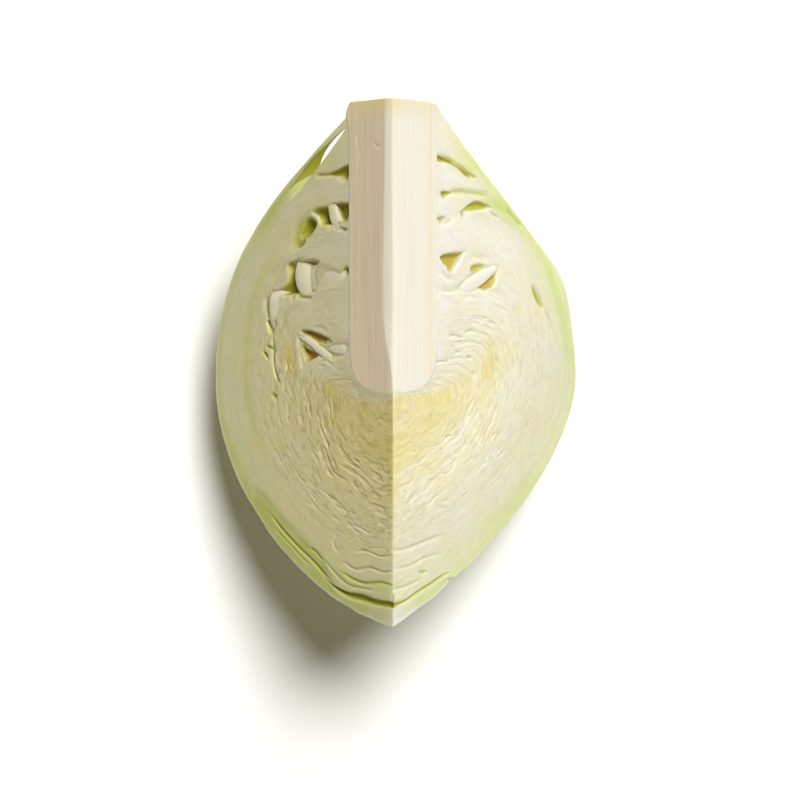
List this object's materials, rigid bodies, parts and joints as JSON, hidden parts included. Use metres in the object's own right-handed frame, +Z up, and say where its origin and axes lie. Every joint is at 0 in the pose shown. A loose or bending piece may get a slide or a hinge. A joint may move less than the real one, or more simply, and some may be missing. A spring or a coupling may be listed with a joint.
{
  "type": "quarter wedge of white cabbage",
  "caption": "Quarter wedge of a white cabbage head lying on its rounded side, with two flat cut faces showing the core and the nested leaves.",
  "frame": {"origin": "bottom centre of the bounding box, on the surface that the wedge rests on", "axes": "+Y along the head's axis towards the stem end, +Z up from the rounded side to the ridge between the two cut faces, +X across"},
  "size_m": [0.124, 0.1702, 0.086],
  "materials": {
    "core": "moist cut stem, cream with a paler rind",
    "outer_leaf": "waxy pale green leaf with whitish veins",
    "inner_leaf": "moist cream leaf, pale green near the outside",
    "heart_leaf": "moist crinkled leaf, cream to yellow"
  },
  "bodies": {
    "root": {"core": "core", "leaf_01_torn_outer": "outer_leaf", "leaf_02_outer": "outer_leaf", "leaf_03": "outer_leaf", "leaf_04": "outer_leaf", "leaf_05_rib_left": "inner_leaf", "leaf_06": "inner_leaf", "leaf_07_rib_right": "inner_leaf", "leaf_08_rib_left": "inner_leaf", "leaf_09_rib_right": "inner_leaf", "leaf_10_rib_left": "inner_leaf", "leaf_11_rib_right": "inner_leaf", "leaf_12_rib_left": "inner_leaf", "heart_leaf_01": "heart_leaf", "heart_leaf_02": "heart_leaf", "heart_leaf_03": "heart_leaf", "heart_leaf_04": "heart_leaf", "heart_leaf_05": "heart_leaf", "heart_leaf_06": "heart_leaf", "heart_leaf_07": "heart_leaf", "heart_leaf_08": "heart_leaf", "heart_leaf_09": "heart_leaf", "heart_leaf_10": "heart_leaf", "heart_leaf_11": "heart_leaf", "heart_leaf_12": "heart_leaf", "heart_leaf_13": "heart_leaf", "fold_left_1": "inner_leaf", "fold_left_2": "inner_leaf", "fold_left_3": "inner_leaf", "fold_left_4": "inner_leaf", "fold_left_5": "inner_leaf", "fold_left_6": "inner_leaf", "fold_right_1": "inner_leaf", "fold_right_2": "inner_leaf"}
  },
  "joints": []
}
